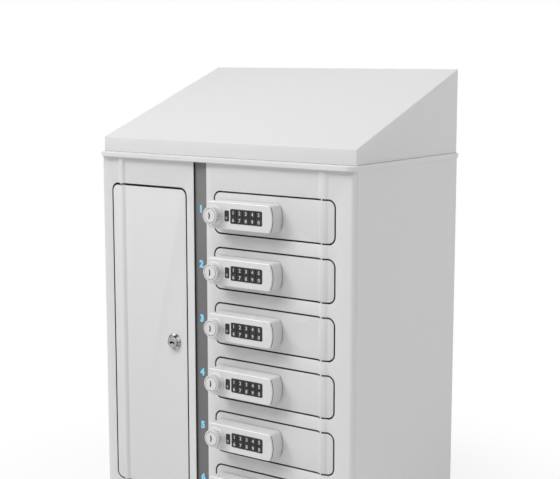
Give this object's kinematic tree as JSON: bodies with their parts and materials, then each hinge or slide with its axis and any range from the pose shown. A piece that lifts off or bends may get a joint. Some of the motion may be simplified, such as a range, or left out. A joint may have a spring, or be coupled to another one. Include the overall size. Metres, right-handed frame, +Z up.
{
  "type": "phone locker cabinet",
  "caption": "Steel phone locker with a sloped top: a tall service door beside a column of small doors with keypad locks, a recessed number strip and upright hinge beads.",
  "frame": {"origin": "centre of the cabinet's footprint, on its standing face", "axes": "+Z up, +Y from the doors to the back, +X to the right as seen from the front"},
  "size_m": [0.414, 0.2913, 0.6135],
  "materials": {
    "cabinet_paint": "light grey powder coat, fine texture, satin",
    "door_paint": "light grey powder coat, fine texture, satin",
    "lock_white": "moulded white plastic, satin",
    "key_black": "black silicone keys with pale figures",
    "strip_grey": "grey plastic strip",
    "chrome_lock": "polished chrome plate",
    "zinc_steel": "bright zinc plated steel",
    "black_rubber": "black rubber",
    "hub_black": "black moulded plastic"
  },
  "bodies": {
    "cabinet": {"front_frame": "cabinet_paint", "side_left": "cabinet_paint", "side_right": "cabinet_paint", "back_panel": "cabinet_paint", "base_panel": "cabinet_paint", "cornice": "cabinet_paint", "sloped_top": "cabinet_paint", "divider_wall": "cabinet_paint", "shelves": "cabinet_paint", "bay_strikes": "zinc_steel", "service_strike": "zinc_steel", "number_strip": "strip_grey", "hinge_rods": "zinc_steel", "hinge_washers": "zinc_steel", "cable_grommets": "black_rubber", "charging_hub": "hub_black", "power_inlet": "hub_black", "fasteners": "zinc_steel"},
    "service_door": {"service_door": "cabinet_paint", "service_lock_barrel": "chrome_lock", "service_lock_nut": "zinc_steel"},
    "service_latch": {"service_lock_plug": "chrome_lock", "service_lock_cam": "zinc_steel"},
    "small_door_1": {"door_1": "door_paint", "lock_case_1": "lock_white"},
    "key_mat_1": {"keypad_1": "key_black"},
    "latch_1": {"knob_1": "lock_white", "latch_cam_1": "zinc_steel"},
    "core_1": {"key_core_1": "lock_white"},
    "small_door_2": {"door_2": "door_paint", "lock_case_2": "lock_white"},
    "key_mat_2": {"keypad_2": "key_black"},
    "latch_2": {"knob_2": "lock_white", "latch_cam_2": "zinc_steel"},
    "core_2": {"key_core_2": "lock_white"},
    "small_door_3": {"door_3": "door_paint", "lock_case_3": "lock_white"},
    "key_mat_3": {"keypad_3": "key_black"},
    "latch_3": {"knob_3": "lock_white", "latch_cam_3": "zinc_steel"},
    "core_3": {"key_core_3": "lock_white"},
    "small_door_4": {"door_4": "door_paint", "lock_case_4": "lock_white"},
    "key_mat_4": {"keypad_4": "key_black"},
    "latch_4": {"knob_4": "lock_white", "latch_cam_4": "zinc_steel"},
    "core_4": {"key_core_4": "lock_white"},
    "small_door_5": {"door_5": "door_paint", "lock_case_5": "lock_white"},
    "key_mat_5": {"keypad_5": "key_black"},
    "latch_5": {"knob_5": "lock_white", "latch_cam_5": "zinc_steel"},
    "core_5": {"key_core_5": "lock_white"},
    "small_door_6": {"door_6": "door_paint", "lock_case_6": "lock_white"},
    "key_mat_6": {"keypad_6": "key_black"},
    "latch_6": {"knob_6": "lock_white", "latch_cam_6": "zinc_steel"},
    "core_6": {"key_core_6": "lock_white"}
  },
  "joints": [
    {"name": "service_door_hinge", "type": "hinge", "parent": "cabinet", "child": "service_door", "pos_m": [-0.1676, -0.12505, 0], "axis": [0, 0, -1], "range_deg": [0, 110]},
    {"name": "service_lock_turn", "type": "hinge", "parent": "service_door", "child": "service_latch", "pos_m": [-0.0775, -0.12825, 0.25205], "axis": [0, -1, 0], "range_deg": [0, 90]},
    {"name": "door_hinge_1", "type": "hinge", "parent": "cabinet", "child": "small_door_1", "pos_m": [0.1601, -0.12505, 0.4323], "axis": [0, 0, 1], "range_deg": [0, 110]},
    {"name": "keypad_press_1", "type": "slide", "parent": "small_door_1", "child": "key_mat_1", "axis": [0, 1, 0], "range_m": [0, 0.0008], "stiffness_N_per_m": 400},
    {"name": "knob_turn_1", "type": "hinge", "parent": "small_door_1", "child": "latch_1", "pos_m": [0.0118, -0.12825, 0.4323], "axis": [0, 1, 0], "range_deg": [0, 90]},
    {"name": "core_turn_1", "type": "hinge", "parent": "latch_1", "child": "core_1", "pos_m": [0.0118, -0.12825, 0.4323], "axis": [0, 1, 0], "range_deg": [0, 90]},
    {"name": "door_hinge_2", "type": "hinge", "parent": "cabinet", "child": "small_door_2", "pos_m": [0.1601, -0.12505, 0.3598], "axis": [0, 0, 1], "range_deg": [0, 110]},
    {"name": "keypad_press_2", "type": "slide", "parent": "small_door_2", "child": "key_mat_2", "axis": [0, 1, 0], "range_m": [0, 0.0008], "stiffness_N_per_m": 400},
    {"name": "knob_turn_2", "type": "hinge", "parent": "small_door_2", "child": "latch_2", "pos_m": [0.0118, -0.12825, 0.3598], "axis": [0, 1, 0], "range_deg": [0, 90]},
    {"name": "core_turn_2", "type": "hinge", "parent": "latch_2", "child": "core_2", "pos_m": [0.0118, -0.12825, 0.3598], "axis": [0, 1, 0], "range_deg": [0, 90]},
    {"name": "door_hinge_3", "type": "hinge", "parent": "cabinet", "child": "small_door_3", "pos_m": [0.1601, -0.12505, 0.2873], "axis": [0, 0, 1], "range_deg": [0, 110]},
    {"name": "keypad_press_3", "type": "slide", "parent": "small_door_3", "child": "key_mat_3", "axis": [0, 1, 0], "range_m": [0, 0.0008], "stiffness_N_per_m": 400},
    {"name": "knob_turn_3", "type": "hinge", "parent": "small_door_3", "child": "latch_3", "pos_m": [0.0118, -0.12825, 0.2873], "axis": [0, 1, 0], "range_deg": [0, 90]},
    {"name": "core_turn_3", "type": "hinge", "parent": "latch_3", "child": "core_3", "pos_m": [0.0118, -0.12825, 0.2873], "axis": [0, 1, 0], "range_deg": [0, 90]},
    {"name": "door_hinge_4", "type": "hinge", "parent": "cabinet", "child": "small_door_4", "pos_m": [0.1601, -0.12505, 0.2148], "axis": [0, 0, 1], "range_deg": [0, 110]},
    {"name": "keypad_press_4", "type": "slide", "parent": "small_door_4", "child": "key_mat_4", "axis": [0, 1, 0], "range_m": [0, 0.0008], "stiffness_N_per_m": 400},
    {"name": "knob_turn_4", "type": "hinge", "parent": "small_door_4", "child": "latch_4", "pos_m": [0.0118, -0.12825, 0.2148], "axis": [0, 1, 0], "range_deg": [0, 90]},
    {"name": "core_turn_4", "type": "hinge", "parent": "latch_4", "child": "core_4", "pos_m": [0.0118, -0.12825, 0.2148], "axis": [0, 1, 0], "range_deg": [0, 90]},
    {"name": "door_hinge_5", "type": "hinge", "parent": "cabinet", "child": "small_door_5", "pos_m": [0.1601, -0.12505, 0.1423], "axis": [0, 0, 1], "range_deg": [0, 110]},
    {"name": "keypad_press_5", "type": "slide", "parent": "small_door_5", "child": "key_mat_5", "axis": [0, 1, 0], "range_m": [0, 0.0008], "stiffness_N_per_m": 400},
    {"name": "knob_turn_5", "type": "hinge", "parent": "small_door_5", "child": "latch_5", "pos_m": [0.0118, -0.12825, 0.1423], "axis": [0, 1, 0], "range_deg": [0, 90]},
    {"name": "core_turn_5", "type": "hinge", "parent": "latch_5", "child": "core_5", "pos_m": [0.0118, -0.12825, 0.1423], "axis": [0, 1, 0], "range_deg": [0, 90]},
    {"name": "door_hinge_6", "type": "hinge", "parent": "cabinet", "child": "small_door_6", "pos_m": [0.1601, -0.12505, 0.0698], "axis": [0, 0, 1], "range_deg": [0, 110]},
    {"name": "keypad_press_6", "type": "slide", "parent": "small_door_6", "child": "key_mat_6", "axis": [0, 1, 0], "range_m": [0, 0.0008], "stiffness_N_per_m": 400},
    {"name": "knob_turn_6", "type": "hinge", "parent": "small_door_6", "child": "latch_6", "pos_m": [0.0118, -0.12825, 0.0698], "axis": [0, 1, 0], "range_deg": [0, 90]},
    {"name": "core_turn_6", "type": "hinge", "parent": "latch_6", "child": "core_6", "pos_m": [0.0118, -0.12825, 0.0698], "axis": [0, 1, 0], "range_deg": [0, 90]}
  ]
}
